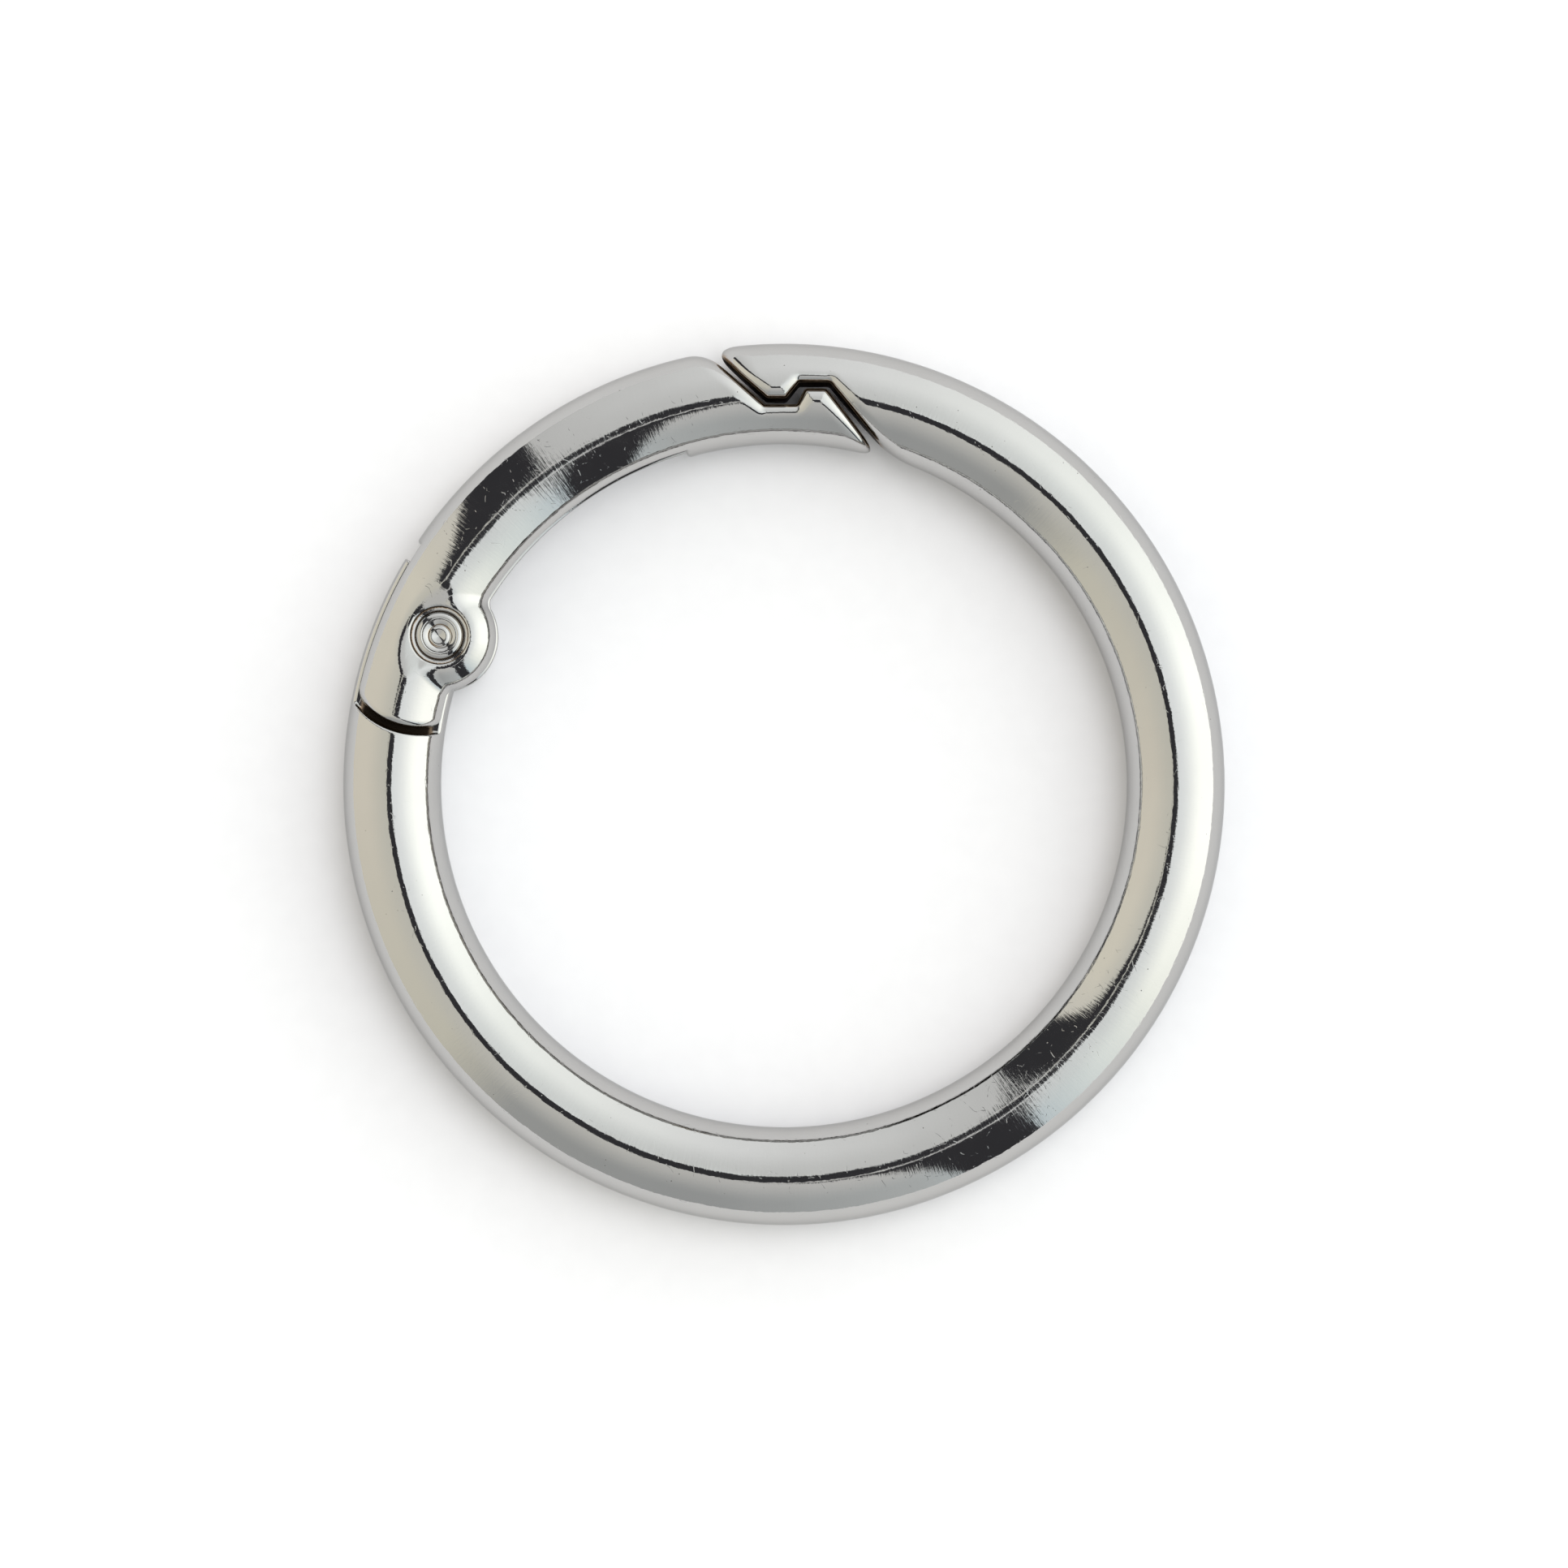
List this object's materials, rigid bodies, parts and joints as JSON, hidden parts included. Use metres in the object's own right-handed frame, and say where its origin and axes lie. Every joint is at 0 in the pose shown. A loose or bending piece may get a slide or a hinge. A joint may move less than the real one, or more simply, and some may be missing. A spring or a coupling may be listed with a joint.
{
  "type": "spring gate ring",
  "caption": "Round plated metal ring with a hinged, sprung gate that opens inward to take keys, cord or a strap.",
  "frame": {"origin": "centre of the ring's circle, at mid-thickness", "axes": "+Z along the ring's axis, towards the side shown with the rivet on the left; +X right and +Y up in that view, with the latch near +Y"},
  "size_m": [0.045, 0.045, 0.005],
  "materials": {
    "body_plating": "polished nickel plate on die-cast zinc",
    "gate_plating": "polished nickel plate on die-cast zinc",
    "rivet_plating": "nickel-plated steel, formed head",
    "spring_wire": "drawn spring wire"
  },
  "bodies": {
    "ring": {"ring_body": "body_plating", "torsion_spring": "spring_wire"},
    "gate": {"gate": "gate_plating", "hinge_rivet": "rivet_plating"}
  },
  "joints": [
    {"name": "gate_hinge", "type": "hinge", "parent": "ring", "child": "gate", "pos_m": [-0.01747, 0.00756, 0], "axis": [0, 0, -1], "range_deg": [0, 28], "stiffness_Nm_per_rad": 0.04, "springref_deg": -34.38, "deforming": ["torsion_spring"]}
  ]
}
